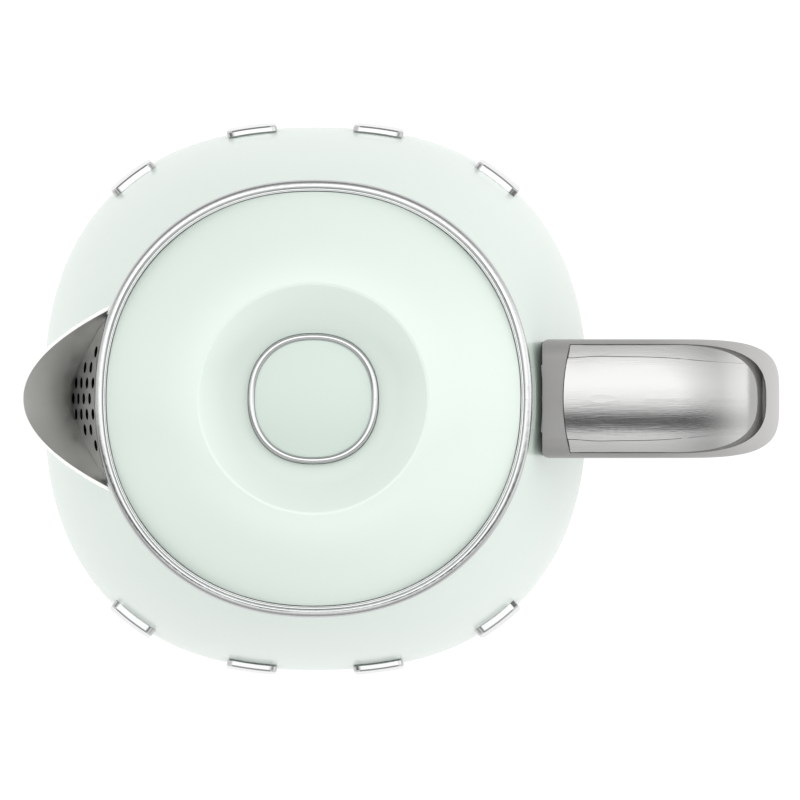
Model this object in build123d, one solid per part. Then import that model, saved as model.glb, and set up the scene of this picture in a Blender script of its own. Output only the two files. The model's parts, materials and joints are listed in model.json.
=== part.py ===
from build123d import *
import math
import os

# Cordless electric jug kettle standing on its power base.
# Millimetres, +Z up. The origin is on the table, under the middle of the whole kettle's length and width.
# The spout points to -X and the handle to +X. Everything is drawn about the jug's own vertical axis, and
# export() then moves it by AXIS_X, so that the spout's tip and the handle's back stand equally far from the origin.

# ---- driving dimensions -------------------------------------------------------------------------------------
SPOUT_REACH = 87.1            # jug axis to the tip of the spout
HANDLE_REACH = 139.5          # jug axis to the back of the handle
AXIS_X = (SPOUT_REACH - HANDLE_REACH) / 2

BASE_R = 75.0                 # power base
BASE_TOP = 22.0
PLINTH_BOTTOM = 22.3          # metal plinth ring at the foot of the jug
WALL_BOTTOM = 36.0            # painted steel jug wall
WALL_TOP = 219.5
BELLY_Z = 92.0                # height where the jug is widest
BELLY_HALF = 82.7             # half-widths of the jug, and how square its sections are (2 is a circle)
FOOT_HALF = 74.0
RIM_HALF = 64.6
BELLY_POWER = 2.43
FOOT_POWER = 2.0
RIM_POWER = 2.15
PROFILE_POWER = 2.0           # how late the jug's side turns inwards
WALL = 1.0

HEATER_Z = 52.0               # underside of the steel floor of the jug
FLOOR_T = 1.2

LID_RING_HALF = 65.1          # lid
LID_RING_Z = (WALL_TOP + 0.2, 225.1)
LID_COVER_HALF = 61.5
CREST_R = 34.1
CREST_Z = 241.6
PLUG_HALF = 58.0
PLUG_BOTTOM = 206.5
COLLAR_IN_HALF = 59.3
HINGE_X, HINGE_Z = 63.9, 218.3
HINGE_R = 1.1                 # knuckles, and the pin in them
PIN_R = 0.5

BUTTON_HALF = 19.25           # rounded-square push button
BUTTON_POWER = 2.26
BUTTON_TRAVEL = 3.0
BEZEL_W = 1.85
BUTTON_GAP = 0.2              # running gap round the button

SPOUT_TOP = 221.5             # spout
SPOUT_FOOT_Z = 186.0
SPOUT_FOOT_REACH = 73.3
SPOUT_TIP_R = 14.5
SPOUT_T = 0.8

HANDLE_WIDTH = 35.4           # handle
PLATE_WIDTH = 32.0
LEVER_PIVOT = (60.0, 29.5)    # on and off lever
HOLE_R = 1.7                  # strainer holes
FIT = 0.1                     # gap between pieces that are pressed or glued together


# ---- shapes that many pieces share --------------------------------------------------------------------------
def superellipse(half_x, half_y, power, count=32):
    """Points round a rounded square or rectangle: |x/half_x|^power + |y/half_y|^power = 1."""
    points = []
    for i in range(count):
        t = 2 * math.pi * i / count
        c, s = math.cos(t), math.sin(t)
        r = (abs(c) ** power + abs(s) ** power) ** (-1 / power)
        points.append((half_x * r * c, half_y * r * s))
    return points


def ring_face(half, power, z=0.0):
    """Flat rounded-square face at height z."""
    edge = Spline(*[(x, y, z) for x, y in superellipse(half, half, power)], periodic=True)
    return make_face(edge)


def prism(half, power, z0, z1):
    """Upright rounded-square block."""
    return extrude(ring_face(half, power, z0), z1 - z0, dir=(0, 0, 1))


def tube(half_out, half_in, power, z0, z1):
    """Upright rounded-square tube."""
    return prism(half_out, power, z0, z1) - prism(half_in, power, z0 - 1, z1 + 1)


def rod(radius, z0, z1, x=0.0, y=0.0):
    """Upright round bar."""
    return Pos(x, y, (z0 + z1) / 2) * Cylinder(radius, z1 - z0)


def pipe(r_out, r_in, z0, z1, x=0.0, y=0.0):
    """Upright round tube."""
    return rod(r_out, z0, z1, x, y) - rod(r_in, z0 - 1, z1 + 1, x, y)


def block(x0, x1, y0, y1, z0, z1):
    """Box between two corners."""
    return Pos((x0 + x1) / 2, (y0 + y1) / 2, (z0 + z1) / 2) * Box(x1 - x0, y1 - y0, z1 - z0)


def bar_x(radius, x0, x1, y, z):
    """Round bar along X."""
    return Pos((x0 + x1) / 2, y, z) * Rot(0, 90, 0) * Cylinder(radius, x1 - x0)


def bar_y(radius, y0, y1, x, z):
    """Round bar along Y."""
    return Pos(x, (y0 + y1) / 2, z) * Rot(90, 0, 0) * Cylinder(radius, y1 - y0)


def around(count, radius, first_deg):
    """Places spaced evenly on a circle about the jug's axis."""
    angles = [math.radians(first_deg + 360 * i / count) for i in range(count)]
    return [(radius * math.cos(a), radius * math.sin(a)) for a in angles]


def group(shapes):
    """One node made of several separate solids."""
    return Compound([solid for shape in shapes for solid in shape.solids()])


def screw_up(x, y, z, length, head_r=2.6, shank_r=1.4, head_h=1.4):
    """Pan-head screw driven upwards, with the underside of its head at z."""
    slot = block(x - head_r, x + head_r, y - 0.4, y + 0.4, z - 1, z + 0.6)
    return rod(head_r, z, z + head_h, x, y) + rod(shank_r, z + head_h, z + length, x, y) - slot


def coil(radius, wire_r, z0, z1, turns, x=0.0, y=0.0):
    """Helical spring standing on z0."""
    pitch = (z1 - z0 - 2 * wire_r) / turns
    path = Pos(x, y, z0 + wire_r) * Helix(pitch, z1 - z0 - 2 * wire_r, radius)
    section = Plane(path @ 0, z_dir=path % 0) * Circle(wire_r)
    return sweep(section, path, is_frenet=True)


# ---- the jug's own form -------------------------------------------------------------------------------------
def height_share(z):
    """0 at the belly, 1 at the rim or at the foot."""
    return (z - BELLY_Z) / (WALL_TOP - BELLY_Z) if z >= BELLY_Z else (BELLY_Z - z) / (BELLY_Z - WALL_BOTTOM)


def half_width(z):
    """Half the jug's width at height z."""
    end = RIM_HALF if z >= BELLY_Z else FOOT_HALF
    return BELLY_HALF - (BELLY_HALF - end) * height_share(z) ** PROFILE_POWER


def squareness(z):
    """Superellipse power of the jug's section at height z."""
    end = RIM_POWER if z >= BELLY_Z else FOOT_POWER
    return BELLY_POWER - (BELLY_POWER - end) * height_share(z) ** 1.5


def jug_form(offset, z0=WALL_BOTTOM, z1=WALL_TOP, count=11):
    """Solid bounded by the jug's outer surface moved outwards by offset."""
    heights = [z0 + (z1 - z0) * i / (count - 1) for i in range(count)]
    return loft([ring_face(half_width(z) + offset, squareness(z), z) for z in heights])


def shell(offset_in, offset_out, z0, z1, count=7):
    """Slice of a skin that follows the jug's surface between two offsets."""
    return jug_form(offset_out, z0, z1, count) - jug_form(offset_in, z0 - 0.5, z1 + 0.5, count + 1)


JUG_OUTSIDE = jug_form(0)
JUG_INSIDE = jug_form(-WALL, WALL_BOTTOM - 1, WALL_TOP + 1)


def spout_reach(z):
    """Jug axis to the spout's front line at height z. The line flares out towards the lip."""
    share = max(0.0, (z - SPOUT_FOOT_Z) / (SPOUT_TOP - SPOUT_FOOT_Z))
    return SPOUT_FOOT_REACH + (SPOUT_REACH - SPOUT_FOOT_REACH) * share ** 2.2


def spout_form(inset, z_top, root_x=-45.0):
    """Solid V-shaped form of the spout, inset all round. Each section is a parabola with a straight back."""
    sections = []
    for i in range(6):
        z = 182.0 + (z_top - 182.0) * i / 5
        reach = spout_reach(z) - inset
        half = math.sqrt(2 * (SPOUT_TIP_R - inset) * (reach + root_x))
        lip = Bezier((root_x, -half, z), (-2 * reach - root_x, 0, z), (root_x, half, z))
        back = Line((root_x, half, z), (root_x, -half, z))
        sections.append(make_face(Curve() + [lip, back]))
    return loft(sections)


SPOUT_INSIDE = spout_form(SPOUT_T, SPOUT_TOP + 2)


# ---- power base ---------------------------------------------------------------------------------------------
FOOT_PLACES = around(4, 60, 45)
BASE_SCREW_PLACES = around(3, 55, 180)
GLAND_Z = 11.2
CORD_HOLE_R = 3.3
TOWER_R = 17.0


def base_cover():
    cover = fillet(rod(BASE_R, 2, BASE_TOP).edges().group_by(Axis.Z)[-1], 3)
    cover -= rod(BASE_R - 2.4, 0, BASE_TOP - 2.2) + rod(TOWER_R + 0.3, 0, BASE_TOP + 1)
    for x, y in BASE_SCREW_PLACES:
        cover += pipe(4, 1.2, 4.7, BASE_TOP - 2.2, x, y)
    return cover - bar_x(5.1, 60, 80, 0, GLAND_Z)


def base_trim():
    """Polished band, split where the cord leaves."""
    return chamfer(pipe(76.2, BASE_R + FIT, 4.5, 13.5).edges(), 0.3) - block(60, 80, -6.8, 6.8, 0, 20)


def base_plate():
    plate = rod(BASE_R - 2.6, 2, 4.5) + rod(15, 4.5, 17.2)
    for x, y in FOOT_PLACES:
        plate -= rod(7.1, 1, 3.4, x, y)
    for x, y in BASE_SCREW_PLACES:
        plate -= rod(3.2, 1, 3.6, x, y) + rod(1.7, 1, 5, x, y)
    return plate


def base_feet():
    return group([chamfer(rod(7, 0, 3.3, x, y).edges().group_by(Axis.Z)[0], 0.6) for x, y in FOOT_PLACES])


def base_screws():
    return group([screw_up(x, y, 2.1, 14, shank_r=1.1) for x, y in BASE_SCREW_PLACES])


def cord_gland():
    body = bar_x(5.0, 71, 79, 0, GLAND_Z) + bar_x(6.5, 68.5, 71.5, 0, GLAND_Z)
    return body - bar_x(CORD_HOLE_R, 60, 90, 0, GLAND_Z)


# ---- the 360 degree connector -------------------------------------------------------------------------------
CONTACT_BOTTOM = 21.1


def base_connector():
    tower = rod(21, 17.4, 19.6) + chamfer(rod(TOWER_R, 17.4, 35).edges().group_by(Axis.Z)[-1], 1)
    return tower - pipe(14.2, 11.3, 21, 36) - rod(3.6, 21, 36)


def base_contacts():
    return group([pipe(11.9, 11.4, CONTACT_BOTTOM, 31), pipe(3.5, 2.4, CONTACT_BOTTOM, 31)])


def jug_connector():
    return rod(21.5, 24.2, 39) - rod(TOWER_R + 0.5, 23, 36)


def jug_contacts():
    return group([pipe(13.2, 12.6, 25, 36 - FIT), rod(1.9, 25, 36 - FIT)])


# ---- foot of the jug and its heater -------------------------------------------------------------------------
DIFFUSER_Z = (49.9, 51.9)
COVER_SCREW_PLACES = around(3, 54.3, 180)
ELEMENT_R, ELEMENT_TUBE_R = 46.0, 3.5
LAMP_ANGLE = 13.0
LEVER_SLOT = block(62, 80, -9, 9, 24.2, 32)
DISC_PLACES = (-10.0, 12.0)


def pilot_lamp():
    """Round lens that shines through the plinth beside the lever."""
    return Rot(0, 0, LAMP_ANGLE) * bar_x(2.2, 69, BASE_R + 0.2, 0, 29)


def plinth_ring():
    outline = Polyline((BASE_R, 0, PLINTH_BOTTOM), (FOOT_HALF + 0.1, 0, WALL_BOTTOM - FIT),
                       (72.2, 0, WALL_BOTTOM - FIT), (72.2, 0, PLINTH_BOTTOM), close=True)
    ring = revolve(make_face(outline), Axis.Z)
    hole = Rot(0, 0, LAMP_ANGLE) * bar_x(2.3, 60, 80, 0, 29)
    return fillet(ring.edges().group_by(Axis.Z)[0], 0.5) - LEVER_SLOT - hole


def under_cover():
    cover = rod(71.8, 24.2, 26.6) + pipe(71.8, 69.8, 24.2, 35.5) - rod(21.8, 20, 30)
    for x, y in COVER_SCREW_PLACES:
        cover -= rod(2.8, 20, 25.7, x, y) + rod(1.6, 20, 30, x, y)
    cover -= LEVER_SLOT + Rot(0, 0, LAMP_ANGLE) * bar_x(2.3, 60, 80, 0, 29)
    for side in (-1, 1):
        ear = block(57, 63, side * 10.7 - 1.3, side * 10.7 + 1.3, 26.6, 32)
        cover += ear - bar_y(1.5, -15, 15, *LEVER_PIVOT)
    return cover


def under_screws():
    return group([screw_up(x, y, 24.3, 18, shank_r=1.2) for x, y in COVER_SCREW_PLACES])


def jug_floor():
    """Steel floor, pressed up a little round a flat heated middle."""
    return JUG_INSIDE & block(-90, 90, -90, 90, HEATER_Z, HEATER_Z + FLOOR_T)


def floor_seal():
    """Sealing bead under the edge of the floor."""
    return (JUG_INSIDE & block(-90, 90, -90, 90, HEATER_Z - 2.2, HEATER_Z - FIT)) - rod(74, 40, 60)


def heat_diffuser():
    plate = rod(58, *DIFFUSER_Z)
    for x, y in COVER_SCREW_PLACES:
        plate += pipe(2.6, 1.25, 30, DIFFUSER_Z[0], x, y)
    return plate


def heating_element():
    """Tube bent into an open ring under the diffuser."""
    z = DIFFUSER_Z[0] - ELEMENT_TUBE_R
    arc = CenterArc((0, 0, z), ELEMENT_R, 20, 320)
    return sweep(Plane(arc @ 0, z_dir=arc % 0) * Circle(ELEMENT_TUBE_R), arc)


def element_pins():
    z = DIFFUSER_Z[0] - 2 * ELEMENT_TUBE_R
    ends = [math.radians(a) for a in (23, 337)]
    places = [(ELEMENT_R * math.cos(a), ELEMENT_R * math.sin(a)) for a in ends]
    return group([rod(1.4, 36, z - FIT, x, y) for x, y in places])


def control_body():
    """Thermostat housing: holders for the cut-out discs, a guide for the trip rod, a slot for the steam disc."""
    body = block(-24, 30, -17, 17, 39.1, 44.5) + block(30, 59, -6, 6, 39.1, 41.2)
    for x in DISC_PLACES:
        body += pipe(9.5, 8, 44.5, 49, x)
    return body - rod(1.7, 30, 50, 47) - bar_x(5.1, 56.6, 57.4, 0, 44.5)


def cutout_discs():
    return group([rod(9, 49.1, 49.7, x) for x in DISC_PLACES])


def steam_disc():
    return bar_x(5, 56.7, 57.3, 0, 44.5)


def trip_rod():
    return rod(1.5, 31.3, 45, 47) + rod(2.6, 45, 46.2, 47)


def switch_lever():
    """Rocking lever: a short arm inside, and a paddle outside under the handle."""
    x, z = LEVER_PIVOT
    arm = block(45, x, -4, 4, z - 1.5, z + 1.5) + bar_y(2.7, -8.5, 8.5, x, z)
    paddle = block(x, 93, -8, 8, z - 2, z + 2)
    paddle = fillet(paddle.edges().filter_by(Axis.Z).group_by(Axis.X)[-1], 6)
    paddle = fillet(paddle.edges().group_by(Axis.Z)[-1] + paddle.edges().group_by(Axis.Z)[0], 1.2)
    return arm + paddle - bar_y(1.55, -15, 15, x, z)


def lever_pin():
    return bar_y(1.45, -12, 12, *LEVER_PIVOT)


# ---- jug wall, spout and strainer ---------------------------------------------------------------------------
GAUGE_Z = (84.0, 184.0)
GAUGE_HALF = 5.0
STEAM_TOP_Z, STEAM_FOOT_Z = 203.5, 45.5
STEAM_R = 3.2


def gauge_slot(grow):
    """Upright slot with round ends, through the wall behind the handle."""
    z0, z1 = GAUGE_Z[0] - grow, GAUGE_Z[1] + grow
    slot = Plane.YZ * SlotOverall(z1 - z0, 2 * (GAUGE_HALF + grow), rotation=90)
    return Pos(60, 0, (z0 + z1) / 2) * extrude(slot, 35)


def jug_wall():
    wall = JUG_OUTSIDE - JUG_INSIDE - SPOUT_INSIDE - gauge_slot(1.5) - block(60, 70, -9.3, 9.3, 214.1, 220)
    return wall - bar_x(STEAM_R + 0.4, 55, 90, 0, STEAM_TOP_Z) - bar_x(STEAM_R + 0.4, 55, 90, 0, STEAM_FOOT_Z)


def spout():
    lip = spout_form(0, SPOUT_TOP) - SPOUT_INSIDE
    return lip - JUG_OUTSIDE - prism(LID_RING_HALF + 0.4, RIM_POWER, 200, 230)


def strainer():
    """Perforated plate that closes the opening in the wall behind the spout, with staggered holes."""
    plate = shell(-WALL, -0.15, 184, 217.3) & spout_form(SPOUT_T + FIT, SPOUT_TOP + 2)
    pitch_y, pitch_z = 4.65, 7.7
    holes = []
    for column in range(-3, 4):
        for row in range(-1, 4):
            y, z = column * pitch_y, 188.6 + row * pitch_z + (pitch_z / 2 if column % 2 else 0)
            if y * y + 8 < 9 * (z - SPOUT_FOOT_Z) and z < 217:
                holes.append(Pos(-70, y, z) * Rot(0, 104, 0) * Cylinder(HOLE_R, 40))
    return plate - holes


def gauge_window():
    return shell(-WALL - 1.0, 0.6, 78, 190) & gauge_slot(0)


def gauge_seal():
    return (shell(-WALL - 0.4, 0.3, 76, 192) & gauge_slot(1.4)) - gauge_slot(FIT)


STUD_Z = 123.0
STUD_HALF = 7.6


def side_trims(side):
    """Four plain polished studs that follow the jug's side."""
    skin = shell(0.05, 2.1, STUD_Z - 12, STUD_Z + 12)
    studs = []
    for angle in (-39.6, -13.3, 13.3, 39.6):
        outline = fillet(Rectangle(2 * STUD_HALF, 16).vertices(), 2.5)
        stud = (Rot(0, 0, 90 * side + angle) * Pos(60, 0, STUD_Z) * extrude(Plane.YZ * outline, 40)) & skin
        face = max(stud.faces(), key=lambda f: f.center().X ** 2 + f.center().Y ** 2)
        studs.append(chamfer(face.edges(), 0.45))
    return group(studs)


# ---- mouth of the jug and the lid ---------------------------------------------------------------------------
LATCH_Z = (213.0, 216.0)
LID_SCREW_PLACES = around(4, 46, 45)
FLANGE_TOP = LID_RING_Z[0]
WELL_FLOOR = (226.0, 227.5)
CAP_EDGE_Z = 239.6


def collar():
    """Plastic mouth ring inside the wall, open towards the spout, with a catch for each latch."""
    flange = JUG_INSIDE & block(-90, 90, -90, 90, 213.5, 217.4)
    ring = (flange + prism(61.3, RIM_POWER, 204, 214)) - prism(COLLAR_IN_HALF, RIM_POWER, 200, 220)
    ring -= block(-90, -40, -27, 27, 200, 220)
    return ring - block(-4.3, 4.3, -60.4, 60.4, 212.7, 216.3) - block(61.8 - FIT, 70, -9.4, 9.4, 214.1, 220)


def hinge_block():
    """Steel bracket with two knuckles for the lid's pin, let into the wall under the lid's ring."""
    bracket = block(61.8, 70, -9.2, 9.2, 214.2, 217.4) & jug_form(-0.05)
    bracket += block(HINGE_X - HINGE_R, HINGE_X + HINGE_R, -9.2, 9.2, 217, HINGE_Z)
    bracket += bar_y(HINGE_R, -9.2, 9.2, HINGE_X, HINGE_Z)
    return bracket - block(60, 70, -3.9, 3.9, 216.7, 225) - bar_y(PIN_R + 0.05, -20, 20, HINGE_X, HINGE_Z)


def hinge_pin():
    return bar_y(PIN_R, -9.2, 9.2, HINGE_X, HINGE_Z)


def lid_ring():
    """Polished trim round the lid: a rolled bead, a groove and a thin inner bead. Its lug takes the hinge pin."""
    bottom, top = LID_RING_Z
    bead = tube(LID_RING_HALF, 62.5, RIM_POWER, bottom, top)
    rims = sorted(bead.edges().group_by(Axis.Z)[-1], key=lambda e: e.length)
    bead = fillet(rims[0], 0.7)
    bead = fillet(max(bead.edges().group_by(Axis.Z)[-1], key=lambda e: e.length), 1.75)
    thin = fillet(tube(62.15, 61.65, RIM_POWER, bottom, top - 1.0).edges().group_by(Axis.Z)[-1], 0.2)
    web = tube(62.8, 61.65, RIM_POWER, bottom, top - 2.4)
    lug = block(HINGE_X - HINGE_R, HINGE_X + HINGE_R, -3.5, 3.5, HINGE_Z, bottom + 0.5)
    lug += bar_y(HINGE_R, -3.5, 3.5, HINGE_X, HINGE_Z)
    return bead + thin + web + lug - bar_y(PIN_R + 0.05, -20, 20, HINGE_X, HINGE_Z)


def dome_section(drop):
    """Closed half-section of everything under the lid's outer surface, lowered by drop."""
    rise = Spline((64, 0, 221.6 - drop), (52, 0, 233.2 - drop), (CREST_R + 0.4, 0, CREST_Z - drop),
                  tangents=[(-0.6, 0, 1), (-1, 0, 0.16)])
    tip = Line(rise @ 1, (CREST_R - 0.4, 0, CREST_Z - 0.12 - drop))
    dish = Spline(tip @ 1, (27.5, 0, 238.6 - drop), (19.0, 0, 237.2 - drop),
                  tangents=[(-1, 0, -0.6), (-1, 0, 0)])
    rest = Polyline(dish @ 1, (0, 0, 237.2 - drop), (0, 0, 200), (64, 0, 200), rise @ 0)
    return make_face(Curve() + [rise, tip, dish] + rest.edges())


def dome(drop):
    return revolve(dome_section(drop), Axis.Z)


def lid_cover():
    bottom = FLANGE_TOP
    skin = (dome(0) - dome(1.2)) & prism(LID_COVER_HALF, RIM_POWER, bottom, 250)
    skirt = tube(LID_COVER_HALF, LID_COVER_HALF - 1.2, RIM_POWER, bottom, 226) & dome(0.3)
    cover = skin + skirt
    for x, y in LID_SCREW_PLACES:
        cover += pipe(3, 1.2, bottom, 240, x, y) & dome(0.6)
    return cover - prism(BUTTON_HALF + BUTTON_GAP, BUTTON_POWER, 220, 250)


def lid_inner():
    """Plug of the lid: a cup with a flange, posts for its screws, and a window for each latch."""
    floor = PLUG_BOTTOM + 1.4
    cup = chamfer(prism(PLUG_HALF, RIM_POWER, PLUG_BOTTOM, 218).edges().group_by(Axis.Z)[0], 1.6)
    cup += prism(62.2, RIM_POWER, 217.8, FLANGE_TOP)
    cup -= prism(PLUG_HALF - 1.5, RIM_POWER, floor, 230)
    for x, y in LID_SCREW_PLACES:
        cup += rod(3.6, floor, FLANGE_TOP, x, y)
        cup -= rod(1.7, 200, 230, x, y) + rod(2.8, 200, PLUG_BOTTOM + 1.6, x, y)
    for side in (-1, 1):
        y0, y1 = sorted((side * 30, side * 26))
        cup += block(-6.5, 6.5, y0, y1, floor, 218) - block(-4.2, 4.2, y0 - 1, y1 + 1, 212.8, 216.2)
    return cup - block(-4.2, 4.2, -60, 60, 212.8, 216.2)


def lid_screws():
    return group([screw_up(x, y, PLUG_BOTTOM + 0.1, 20, shank_r=1.15) for x, y in LID_SCREW_PLACES])


def lid_seal():
    return tube(58.7, PLUG_HALF + 0.05, RIM_POWER, 208.9, 211.2)


def latch(side):
    """Sliding bolt. The button's sloping leg runs in its sloping slot and draws it inwards."""
    y0, y1 = sorted((side * 8.0, side * 59.1))
    bolt = block(-4, 4, y0, y1, *LATCH_Z)
    return bolt - leg(side, 0.25)


def leg(side, grow=0.0):
    """Leg that slopes outwards and down at 45 degrees on its way through the latch."""
    low, high = (LATCH_Z[0] - 1 - grow * 3, 226.0)
    near = 9.0 + 216.0                      # y + z along the leg's inner face
    width = 3.0 + grow
    corners = [(0, side * (near - high - grow), high), (0, side * (near - high + width), high),
               (0, side * (near - low + width), low), (0, side * (near - low - grow), low)]
    half = 1.6 + grow
    return extrude(make_face(Polyline(*corners, close=True)), half, both=True)


def button_stem():
    stem = rod(5, 224, 235, 0, 0) + leg(1) + leg(-1)
    return stem + rod(12, 235, 236.4)


def button_cap():
    """Painted cap, domed a little, inside its bezel."""
    half = BUTTON_HALF - BEZEL_W - 0.05
    cap = prism(half, BUTTON_POWER, 236.5, 243) & Pos(0, 0, 236.5 + 4.6 - 90) * Sphere(90)
    return cap


def button_bezel():
    bezel = tube(BUTTON_HALF, BUTTON_HALF - BEZEL_W, BUTTON_POWER, 234.0, CAP_EDGE_Z + 0.7)
    return fillet(bezel.edges().group_by(Axis.Z)[-1], 0.85)


def button_well():
    """Cup under the lid's cover that guides the button and seats its spring."""
    well = prism(22.0, BUTTON_POWER, WELL_FLOOR[0], 235.4)
    well -= prism(BUTTON_HALF + 0.35, BUTTON_POWER, WELL_FLOOR[1], 240) + rod(5.3, 200, 240)
    return well & dome(1.4)


def button_spring():
    return coil(8.5, 0.5, WELL_FLOOR[1] + 0.05, 234.9, 3)


# ---- handle -------------------------------------------------------------------------------------------------
ROOT_X = 68.1
END_X = 105.0                 # where the handle's sides begin to close, seen from above
PLATE_RISE = 0.6              # the plate stands this much above the moulding
CROWN_R = 46.7
CROWN = ((73.0, 12.4, 0.35), (82.0, 12.4, 0.35), (91.0, 12.4, 0.35), (99.0, 12.3, 0.35), (106.0, 12.0, 0.28),
         (112.0, 11.5, 0.14), (118.0, 11.0, 0.04), (124.0, 10.6, 0.03), (129.0, 10.4, 0.03), (133.5, 10.4, 0.03))
TABS = ((66.0, 83.0, 196.0, 198.5), (70.0, 90.0, 51.5, 54.0))      # x0, x1, z0, z1 of the two bracket tabs


def curve(points, start, end):
    """Smooth line in the XZ plane through (x, z) points with the given end directions."""
    (sx, sz), (ex, ez) = start, end
    return Spline(*[(x, 0, z) for x, z in points], tangents=[(sx, 0, sz), (ex, 0, ez)])


def back_line(inset=0.0):
    """The handle's outer line, from its upper root round to its lower root."""
    points = [(ROOT_X - 6, 213.8 - inset), (92, 217.2 - inset), (114, 214.8 - inset),
              (130.5 - 0.6 * inset, 204.0 - 0.8 * inset), (HANDLE_REACH - inset, 178), (137.2 - inset, 140),
              (125.5 - inset, 92), (104 - inset, 55 + inset), (70, 37.5 + inset)]
    return curve(points, (1, 0.13), (-1, -0.18))


def middle_line():
    """Where the handle's frame and liner meet."""
    points = [(ROOT_X - 6, 203.0), (92, 206.2), (110, 203.5), (122.5, 192), (127.8, 168), (125.4, 136), (114.5, 95),
              (97, 66), (70, 50)]
    return curve(points, (1, 0.13), (-1, -0.3))


def grip_line():
    """The side of the handle that the fingers hold."""
    points = [(ROOT_X - 6, 190.5), (92, 194.0), (105, 191.2), (113.2, 180), (115.6, 162), (113.5, 136), (104.5, 102),
              (92, 79), (70, 64)]
    return curve(points, (1, 0.16), (-1, -0.45))


def between(first, second):
    """Face between two lines that both run from the upper root to the lower root."""
    return make_face(Curve() + [first, Line(first @ 1, second @ 1), second, Line(second @ 0, first @ 0)])


def plan_form(reach, half, power, start, root_r=0.0):
    """Upright block with the handle's outline from above: straight sides, and a far end that closes slowly."""
    points = []
    for i in range(17):
        t = math.pi / 2 - math.pi * i / 16
        c, d = max(math.cos(t), 0.0), math.sin(t)
        r = (c ** power + abs(d) ** power) ** (-1 / power)
        points.append((END_X + (reach - END_X) * r * c, half * r * d, 0))
    end = Spline(*points, tangents=[(1, 0, 0), (-1, 0, 0)])
    sides = Polyline(end @ 1, (start, -half, 0), (start, half, 0), end @ 0)
    face = make_face(Curve() + [end] + sides.edges())
    if root_r:
        face = fillet(face.vertices().group_by(Axis.X)[0], root_r)
    return extrude(face, 260, dir=(0, 0, 1))


def handle_envelope():
    """Everything that the frame, liner and brackets may fill: clear of the jug and rounded from above."""
    return plan_form(HANDLE_REACH, HANDLE_WIDTH / 2, 3.7, ROOT_X, 2.0) - jug_form(0.15)


def moulding(outer, inner, half, edge, edge_r):
    """Solid between two of the handle's lines, with the two long edges on the outer or inner line rounded."""
    body = extrude(between(outer, inner), half, both=True)
    long_edges = [e for e in body.edges() if e.length > 120 and abs(abs(e.center().Y) - half) < 0.2]
    long_edges.sort(key=lambda e: e.length, reverse=(edge == "outer"))
    return fillet(long_edges[:2], edge_r)


def tab_room(grow):
    """The two welded brackets, or the room for them: a pad on the wall and a tab for the handle."""
    room = []
    for x0, x1, z0, z1 in TABS:
        pad = jug_form(2.4 + grow) & block(60, 95, -10 - grow, 10 + grow, z0 - 3 - grow, z1 + 8 + grow)
        tab = block(x0, x1 + grow, -7 - grow, 7 + grow, z0 - grow, z1 + grow)
        room.append(pad + tab - jug_form(0.12))
    return room


def steam_path():
    points = [(62.5, 0, STEAM_TOP_Z), (112, 0, STEAM_TOP_Z), (128, 0, 172), (119, 0, 104), (99, 0, STEAM_FOOT_Z + 20),
              (86, 0, STEAM_FOOT_Z), (66, 0, STEAM_FOOT_Z)]
    return FilletPolyline(*points, radius=[18, 30, 40, 14, 10])


def steam_bore(radius):
    path = steam_path()
    return sweep(Plane(path @ 0, z_dir=path % 0) * Circle(radius), path)


def plate_outline(reach, half, power, start, bow_r):
    """The polished plate's outline from above, with a bowed end towards the jug."""
    return plan_form(reach, half, power, start) & rod(bow_r, -1, 261, start + bow_r)


def handle_frame():
    """Outer moulding of the handle, with a pocket for the polished plate."""
    body = moulding(back_line(), middle_line(), HANDLE_WIDTH / 2, "outer", 6) & handle_envelope()
    pocket = plate_outline(135.2, PLATE_WIDTH / 2 + 0.25, 2.9, 74.15, 62.25)
    skin = extrude(between(back_line(-1), back_line(3.2)), HANDLE_WIDTH, both=True)
    body -= skin & pocket & block(0, 150, -30, 30, 190, 240)
    return body - tab_room(0.2) - steam_bore(STEAM_R + 0.3)


def handle_liner():
    """Inner moulding, where the fingers lie."""
    body = moulding(middle_line(), grip_line(), HANDLE_WIDTH / 2 - 0.6, "inner", 5) & handle_envelope()
    return body - tab_room(0.2) - steam_bore(STEAM_R + 0.3)


def line_height(line, x):
    """Height of a handle line where it first reaches x."""
    low, high = 0.0, 0.3
    for _ in range(30):
        middle = (low + high) / 2
        low, high = (middle, high) if (line @ middle).X < x else (low, middle)
    return (line @ low).Z


def crown():
    """Everything under the plate's crowned top. A small ledge along each side fades out towards the far end."""
    sections = []
    line = back_line(-PLATE_RISE)
    for x, ledge_y, ledge in CROWN:
        top = line_height(line, x)

        def drop(y):
            return CROWN_R - math.sqrt(CROWN_R ** 2 - y * y)

        def arc(y0, y1, sink):
            mid = (y0 + y1) / 2
            return ThreePointArc(*[(x, y, top - drop(y) - sink) for y in (y0, mid, y1)])

        edges = [arc(-16.4, -ledge_y - 0.2, ledge), arc(-ledge_y, ledge_y, 0), arc(ledge_y + 0.2, 16.4, ledge)]
        edges.insert(1, Line(edges[0] @ 1, edges[1] @ 0))
        edges.insert(3, Line(edges[2] @ 1, edges[3] @ 0))
        edges += Polyline(edges[4] @ 1, (x, 16.4, 170), (x, -16.4, 170), edges[0] @ 0).edges()
        sections.append(make_face(Curve() + edges))
    return loft(sections)


def handle_plate():
    """Polished cover plate on top of the handle, crowned across its width."""
    body = extrude(between(back_line(-PLATE_RISE), back_line(3.0)), PLATE_WIDTH / 2, both=True) & crown()
    return body & plate_outline(132.4, PLATE_WIDTH / 2, 2.7, 74.4, 62) & block(0, 150, -30, 30, 190, 240)


def handle_brackets():
    return group([bracket - steam_bore(STEAM_R + 0.2) for bracket in tab_room(0)])


def steam_tube():
    return steam_bore(STEAM_R) - steam_bore(STEAM_R - 0.9)


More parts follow.
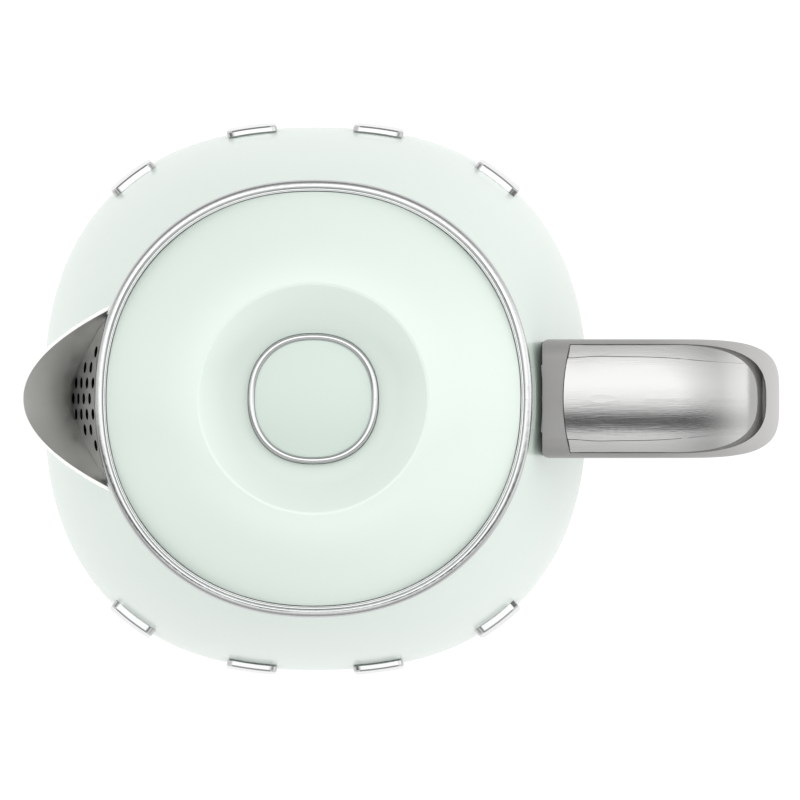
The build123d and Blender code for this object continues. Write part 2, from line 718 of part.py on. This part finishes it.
# ---- export -------------------------------------------------------------------------------------------------
PIECES = {
    "base_cover": base_cover, "base_trim": base_trim, "base_plate": base_plate, "base_feet": base_feet,
    "base_screws": base_screws, "cord_gland": cord_gland, "base_connector": base_connector,
    "base_contacts": base_contacts, "jug_connector": jug_connector, "jug_contacts": jug_contacts,
    "plinth_ring": plinth_ring, "under_cover": under_cover, "under_screws": under_screws, "jug_floor": jug_floor,
    "floor_seal": floor_seal, "heat_diffuser": heat_diffuser, "heating_element": heating_element,
    "element_pins": element_pins, "control_body": control_body, "cutout_discs": cutout_discs,
    "steam_disc": steam_disc, "trip_rod": trip_rod, "switch_lever": switch_lever, "lever_pin": lever_pin,
    "pilot_lamp": pilot_lamp, "jug_wall": jug_wall, "spout": spout, "strainer": strainer,
    "gauge_window": gauge_window, "gauge_seal": gauge_seal, "collar": collar, "hinge_block": hinge_block,
    "hinge_pin": hinge_pin, "lid_ring": lid_ring, "lid_cover": lid_cover, "lid_inner": lid_inner,
    "lid_screws": lid_screws, "lid_seal": lid_seal, "button_stem": button_stem, "button_cap": button_cap,
    "button_bezel": button_bezel, "button_well": button_well, "button_spring": button_spring,
    "handle_frame": handle_frame, "handle_liner": handle_liner, "handle_plate": handle_plate,
    "handle_brackets": handle_brackets, "steam_tube": steam_tube,
}


def export(name, shape):
    """Write one node, moved from the jug's axis to the kettle's own frame."""
    export_step(Pos(AXIS_X, 0, 0) * shape, f"parts/{name}.step")


def main():
    os.makedirs("parts", exist_ok=True)
    for name, make in PIECES.items():
        export(name, make())
    for name, side in (("left", -1), ("right", 1)):
        export(f"latch_{name}", latch(side))
        export(f"side_trims_{name}", side_trims(side))


main()
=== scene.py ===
import bpy
import json
import math
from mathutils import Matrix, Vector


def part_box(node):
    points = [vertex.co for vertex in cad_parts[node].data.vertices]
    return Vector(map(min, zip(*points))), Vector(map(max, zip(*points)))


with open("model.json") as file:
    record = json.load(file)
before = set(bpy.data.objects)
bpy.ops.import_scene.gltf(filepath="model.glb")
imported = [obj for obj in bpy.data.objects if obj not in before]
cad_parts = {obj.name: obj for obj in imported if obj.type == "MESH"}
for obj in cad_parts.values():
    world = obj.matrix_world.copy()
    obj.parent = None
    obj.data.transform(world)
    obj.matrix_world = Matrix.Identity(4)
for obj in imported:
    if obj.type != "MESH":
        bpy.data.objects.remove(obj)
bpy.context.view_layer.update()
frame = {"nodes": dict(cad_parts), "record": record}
NODES = frame["nodes"]

MM = 0.001
LID_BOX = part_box("lid_cover")
AXIS_X = (LID_BOX[0].x + LID_BOX[1].x) / 2      # the jug's own upright axis
HOLE_TILT = math.radians(14)                    # the strainer's holes rise outwards by this much
DISH_FLOOR_R, DISH_RIM_R = 26 * MM, 34 * MM
GRIP_PAINTED_LIGHT_FROM, GRIP_PAINTED_LIGHT_TO = AXIS_X + 100 * MM, AXIS_X + 136 * MM
FLOOR_R = 3.0
FLOOR_GLOW = 0.87
SKY_STRENGTH = 2.56
LENS_MM = 726
CAMERA_AT = (AXIS_X + 25.7 * MM, -0.4 * MM, 5.018)


# ---- how a material is put together ------------------------------------------------------------------
def colour(hex_code):
    """sRGB hex to linear RGBA."""
    parts = [int(hex_code[i:i + 2], 16) / 255 for i in (1, 3, 5)]
    return [p / 12.92 if p <= 0.04045 else ((p + 0.055) / 1.055) ** 2.4 for p in parts] + [1.0]


def add_node(tree, kind, settings=None, inputs=None):
    """Add a node. settings are its properties. An input is a value, or the (node, output) that feeds it."""
    node = tree.nodes.new(kind)
    for key, value in (settings or {}).items():
        setattr(node, key, value)
    for key, value in (inputs or {}).items():
        if isinstance(value, tuple) and isinstance(value[0], bpy.types.Node):
            tree.links.new(value[0].outputs[value[1]], node.inputs[key])
        else:
            node.inputs[key].default_value = value
    return node


def new_finish(name):
    """Empty material with its tree and a node for the piece's own coordinates."""
    made = bpy.data.materials.new(name)
    made.use_nodes = True
    made.node_tree.nodes.clear()
    return made, made.node_tree, add_node(made.node_tree, "ShaderNodeTexCoord")


def noise(tree, vector, scale, detail):
    return add_node(tree, "ShaderNodeTexNoise", inputs={"Vector": vector, "Scale": scale, "Detail": detail})


def bumped(tree, height, strength, distance):
    return add_node(tree, "ShaderNodeBump",
                    inputs={"Height": (height, 0), "Strength": strength, "Distance": distance})


def gloss_between(tree, pattern, low, high):
    """Roughness that runs from low to high with a pattern."""
    return add_node(tree, "ShaderNodeMapRange", inputs={"Value": (pattern, 0), 3: low, 4: high})


def blend(tree, factor, first, second):
    """Mix of two colours, given as hex codes or as nodes that already mix two."""
    first = colour(first) if isinstance(first, str) else (first, 2)
    return add_node(tree, "ShaderNodeMix", {"data_type": "RGBA"},
                    {"Factor": (factor, 0), 6: first, 7: colour(second)})


def end_finish(tree, **inputs):
    """Principled shader with these sockets, and the output."""
    shader = add_node(tree, "ShaderNodeBsdfPrincipled",
                      inputs={key.replace("_", " "): value for key, value in inputs.items()})
    add_node(tree, "ShaderNodeOutputMaterial", inputs={"Surface": (shader, 0)})


# ---- the finishes --------------------------------------------------------------------------------------
def enamel(name, tint, drift, dish_painted_shade=None):
    """Gloss coat on steel or plastic: an even pastel colour under a clear skin with a faint orange peel.
    dish_painted_shade, if given, is painted shade: a deeper colour in the dish round the button.
    """
    made, tree, place = new_finish(name)
    # Orange peel is about 2 mm from crest to crest.
    peel = noise(tree, (place, "Object"), 500.0, 2.0)
    bump = bumped(tree, peel, 0.012, 0.001)
    tone = blend(tree, noise(tree, (place, "Object"), 14.0, 1.0), tint, drift)
    if dish_painted_shade:
        # Painted shade: the colour turns a shade deeper in the dish round the button, where the recess falls
        # into shade.
        from_axis = add_node(tree, "ShaderNodeVectorMath", {"operation": "MULTIPLY_ADD"},
                             {0: (place, "Object"), 1: (1.0, 1.0, 0.0), 2: (-AXIS_X, 0.0, 0.0)})
        radius = add_node(tree, "ShaderNodeVectorMath", {"operation": "LENGTH"}, {0: (from_axis, 0)})
        share = add_node(tree, "ShaderNodeMapRange",
                         inputs={"Value": (radius, 1), 1: DISH_FLOOR_R, 2: DISH_RIM_R, 3: 1.0, 4: 0.0})
        tone = blend(tree, share, tone, dish_painted_shade)
    end_finish(tree, Base_Color=(tone, 2), Roughness=0.34, Specular_IOR_Level=0.3, Coat_Weight=0.4,
               Coat_Roughness=0.12, Coat_IOR=1.45, Normal=(bump, 0))
    return made


def bright_chrome():
    """Chrome plate over polished metal: mirror bright, with faint wiping marks that only soften its gloss."""
    made, tree, place = new_finish("bright_chrome_plate")
    rough = gloss_between(tree, noise(tree, (place, "Object"), 260.0, 4.0), 0.08, 0.16)
    end_finish(tree, Base_Color=colour("#bcbdbd"), Metallic=1.0, Roughness=(rough, 0))
    return made


def brushed_metal(name, tint, roughness, along):
    """Metal with a fine brushed grain. along is the stretch of the grain in X, Y and Z."""
    made, tree, place = new_finish(name)
    turned = add_node(tree, "ShaderNodeMapping", inputs={"Vector": (place, "Object"), "Scale": along})
    # Grain lines are about 0.4 mm apart, drawn a little coarser than the real grit.
    grain = noise(tree, (turned, 0), 2400.0, 3.0)
    bump = bumped(tree, grain, 0.04, 0.0004)
    rough = gloss_between(tree, grain, roughness - 0.05, roughness + 0.06)
    end_finish(tree, Base_Color=colour(tint), Metallic=1.0, Roughness=(rough, 0), Normal=(bump, 0))
    return made


def punched_stainless():
    """Satin stainless sheet. The walls of its punched holes are coloured near-black as painted shade, for the
    dark inside of the jug seen through them.
    """
    made, tree, place = new_finish("punched_stainless_sheet")
    # The sheet's own faces look along the holes, and the holes' edges look across them.
    facing = add_node(tree, "ShaderNodeVectorMath", {"operation": "DOT_PRODUCT"},
                      {0: (place, "Normal"), 1: (-math.cos(HOLE_TILT), 0.0, math.sin(HOLE_TILT))})
    size = add_node(tree, "ShaderNodeMath", {"operation": "ABSOLUTE"}, {0: (facing, 1)})
    edge = add_node(tree, "ShaderNodeMath", {"operation": "LESS_THAN"}, {0: (size, 0), 1: 0.6})
    rough = gloss_between(tree, noise(tree, (place, "Object"), 1500.0, 2.0), 0.42, 0.5)
    # Painted shade: the holes' walls take a near-black colour, so the holes read dark.
    tone = blend(tree, edge, "#ededeb", "#0a0a0a")
    end_finish(tree, Base_Color=(tone, 2), Metallic=1.0, Roughness=(rough, 0))
    return made


def moulded_plastic(name, tint, deep, roughness, grain_mm=0.6, relief=0.05, bend_painted_light=None):
    """Injection-moulded plastic: satin, with a fine spark-eroded texture and a slight drift in tone."""
    made, tree, place = new_finish(name)
    bump = bumped(tree, noise(tree, (place, "Object"), 1.0 / (grain_mm * MM), 2.0), relief, 0.0003)
    tone = blend(tree, noise(tree, (place, "Object"), 30.0, 1.0), tint, deep)
    if bend_painted_light:
        # Painted light: the handle's bend is coloured a little paler than its root, standing in for the light
        # it catches from the side.
        split = add_node(tree, "ShaderNodeSeparateXYZ", inputs={0: (place, "Object")})
        share = add_node(tree, "ShaderNodeMapRange",
                         inputs={"Value": (split, 0), 1: GRIP_PAINTED_LIGHT_FROM, 2: GRIP_PAINTED_LIGHT_TO})
        tone = blend(tree, share, tone, bend_painted_light)
    end_finish(tree, Base_Color=(tone, 2), Roughness=roughness, IOR=1.5, Normal=(bump, 0))
    return made


def clear_polycarbonate():
    """Clear moulded window with a faint grey-green tint."""
    made, tree, place = new_finish("clear_polycarbonate")
    rough = gloss_between(tree, noise(tree, (place, "Object"), 90.0, 2.0), 0.05, 0.12)
    end_finish(tree, Base_Color=colour("#d6e2dd"), Roughness=(rough, 0), IOR=1.58, Transmission_Weight=0.75)
    return made


ENAMEL = enamel("pastel_powder_coat_on_steel", "#d6e2da", "#d8e4dc")
# Painted light: the lid's coat is a shade paler than the body's same paint, for the brighter light on its
# top.
LID_ENAMEL = enamel("pastel_powder_coat_on_lid", "#dae6de", "#dce8e0", "#cedad2")
# Painted shade: the button's lacquer is a shade deeper than the lid's coat, standing in for the darker light
# on the button.
BUTTON_PAINT_AND_SHADE = enamel("pastel_lacquer_on_plastic_with_painted_shade", "#c8d5cd", "#cad7cf")
CHROME = bright_chrome()
SPOUT_STEEL = brushed_metal("satin_stainless_spout", "#dededc", 0.48, (1.0, 1.0, 0.06))
STRAINER_STEEL = punched_stainless()
FLOOR_STEEL = brushed_metal("satin_stainless_floor", "#a5a6a5", 0.30, (1.0, 0.05, 1.0))
PLATE_STEEL = brushed_metal("polished_stainless_plate", "#a9a9a8", 0.13, (0.04, 1.0, 1.0))
ZINC_STEEL = brushed_metal("zinc_plated_steel", "#b4b6b8", 0.38, (1.0, 1.0, 1.0))
BRASS = brushed_metal("turned_brass", "#d3b168", 0.25, (1.0, 1.0, 0.2))
ALUMINIUM = brushed_metal("pressed_aluminium", "#c6c8ca", 0.42, (1.0, 1.0, 1.0))
# The handle's bend carries painted light: its colour runs paler than the root.
HANDLE_PLASTIC = moulded_plastic("satin_grey_abs", "#8e8d8b", "#929190", 0.38, bend_painted_light="#b2b1af")
DARK_PLASTIC = moulded_plastic("black_polypropylene", "#2c2c2e", "#323235", 0.5)
PALE_PLASTIC = moulded_plastic("natural_polypropylene", "#d5d6d3", "#dadbd8", 0.42)
RUBBER = moulded_plastic("black_nitrile_rubber", "#222224", "#29292b", 0.7, 0.4, 0.12)
SILICONE = moulded_plastic("translucent_silicone", "#c8cac8", "#d0d2d0", 0.55, 0.5, 0.08)
LAMP = moulded_plastic("amber_acrylic_lens", "#c96a3c", "#d37a4a", 0.15, 0.8, 0.02)
WINDOW = clear_polycarbonate()

FINISH_OF_SLOT = {
    "painted_steel": ENAMEL, "painted_plastic": ENAMEL, "polished_chrome": CHROME,
    "brushed_steel": SPOUT_STEEL, "plated_steel": ZINC_STEEL, "grey_plastic": HANDLE_PLASTIC,
    "dark_plastic": DARK_PLASTIC, "pale_plastic": PALE_PLASTIC, "seal_rubber": SILICONE,
    "foot_rubber": RUBBER, "contact_brass": BRASS, "diffuser_aluminium": ALUMINIUM,
    "clear_plastic": WINDOW, "lamp_lens": LAMP,
}
FINISH_OF_NODE = {
    "handle_plate": PLATE_STEEL, "jug_floor": FLOOR_STEEL, "strainer": STRAINER_STEEL,
    "lid_cover": LID_ENAMEL, "button_cap": BUTTON_PAINT_AND_SHADE,
}
for part in frame["record"]["subparts"]:
    made = FINISH_OF_NODE.get(part["node"], FINISH_OF_SLOT[part["material_slot"]])
    for slot in NODES[part["node"]].material_slots:
        slot.material = made


# ---- floor, light and camera -----------------------------------------------------------------------------
def pale_floor():
    """Seamless pale sweep that glows, as paper does on a light table."""
    bpy.ops.object.select_all(action="DESELECT")
    bpy.ops.mesh.primitive_circle_add(vertices=64, radius=FLOOR_R, fill_type="NGON",
                                      location=(0, 0, -0.2 * MM))
    floor = bpy.context.active_object
    floor.name = "floor"
    made, tree, place = new_finish("lit_white_paper")
    tone = blend(tree, noise(tree, (place, "Object"), 6.0, 2.0), "#7c7c7c", "#808080")
    end_finish(tree, Base_Color=(tone, 2), Roughness=0.9, Specular_IOR_Level=0.0,
               Emission_Color=colour("#ffffff"), Emission_Strength=FLOOR_GLOW)
    floor.data.materials.append(made)


def light_ramp(tree, angle, stops):
    """Light level by angle in degrees, from -90 to 90."""
    quarter = math.pi / 2
    share = add_node(tree, "ShaderNodeMapRange", inputs={"Value": (angle, 0), 1: -quarter, 2: quarter})
    ramp = add_node(tree, "ShaderNodeValToRGB", inputs={0: (share, 0)})
    while len(ramp.color_ramp.elements) < len(stops):
        ramp.color_ramp.elements.new(0.5)
    for stop, (degrees, level) in zip(ramp.color_ramp.elements, stops):
        stop.position = (degrees + 90) / 180
        stop.color = (level, level, level, 1)
    return ramp


def studio_light():
    """White tent: bright overhead, darker down its walls, with one dark seam beside the top."""
    world = bpy.data.worlds.new("white_tent")
    bpy.context.scene.world = world
    world.use_nodes = True
    tree = world.node_tree
    tree.nodes.clear()

    def sums(operation, first, second):
        return add_node(tree, "ShaderNodeMath", {"operation": operation}, {0: first, 1: second})

    way = add_node(tree, "ShaderNodeTexCoord")
    split = add_node(tree, "ShaderNodeSeparateXYZ", inputs={0: (way, "Generated")})
    # The lean of a surface that would send this light straight up.
    lean = sums("ARCTAN2", (split, 1), (sums("ADD", (split, 2), 1.0), 0))
    across = light_ramp(tree, lean, [
        (-90, 0.7), (-20, 0.66), (-15.5, 0.64), (-14.2, 0.74), (-12.6, 0.58), (-11.2, 0.27), (-10.2, 0.10),
        (-7.2, 0.07), (-6.2, 0.19), (-4.9, 0.38), (-3.7, 0.49), (-2.4, 0.63), (-1.2, 0.73), (0, 0.80),
        (2.5, 0.87), (3.7, 0.94), (6.2, 0.96), (8.6, 0.94), (13.0, 0.92), (14.6, 0.86), (16.5, 0.76),
        (19, 0.7), (26, 0.5), (90, 0.45)])
    rise = add_node(tree, "ShaderNodeMath", {"operation": "ARCSINE"}, {0: (split, 2)})
    upward = light_ramp(tree, rise, [
        (-90, 0.32), (-2, 0.32), (8, 0.33), (30, 0.4), (50, 0.7), (66, 0.98), (90, 1.0)])
    both = add_node(tree, "ShaderNodeMix", {"data_type": "RGBA", "blend_type": "MULTIPLY"},
                    {"Factor": 1.0, 6: (across, 0), 7: (upward, 0)})
    # A tall lit panel stands beyond the handle, and a fainter one beyond the spout.
    towards = add_node(tree, "ShaderNodeMath", {"operation": "ABSOLUTE"}, {0: (split, 0)})
    spread = sums("POWER", (towards, 0), 5.0)
    share = add_node(tree, "ShaderNodeMapRange",
                     inputs={"Value": (split, 0), 1: -0.3, 2: 0.3, 3: 0.12, 4: 0.5})
    panels = sums("MULTIPLY", (spread, 0), (share, 0))
    whole = add_node(tree, "ShaderNodeMix", {"data_type": "RGBA", "blend_type": "ADD"},
                     {"Factor": 1.0, 6: (both, 2), 7: (panels, 0)})
    sky = add_node(tree, "ShaderNodeBackground", inputs={"Color": (whole, 2), "Strength": SKY_STRENGTH})
    add_node(tree, "ShaderNodeOutputWorld", inputs={"Surface": (sky, 0)})


def camera():
    """Long lens straight above the kettle, with the handle to the right."""
    made = bpy.data.cameras.new("camera")
    made.sensor_width = 36
    made.lens = LENS_MM
    made.clip_end = 50
    seen = bpy.data.objects.new("camera", made)
    bpy.context.collection.objects.link(seen)
    seen.location = CAMERA_AT
    bpy.context.scene.camera = seen


pale_floor()
studio_light()
camera()
bpy.context.scene.view_settings.view_transform = "Standard"
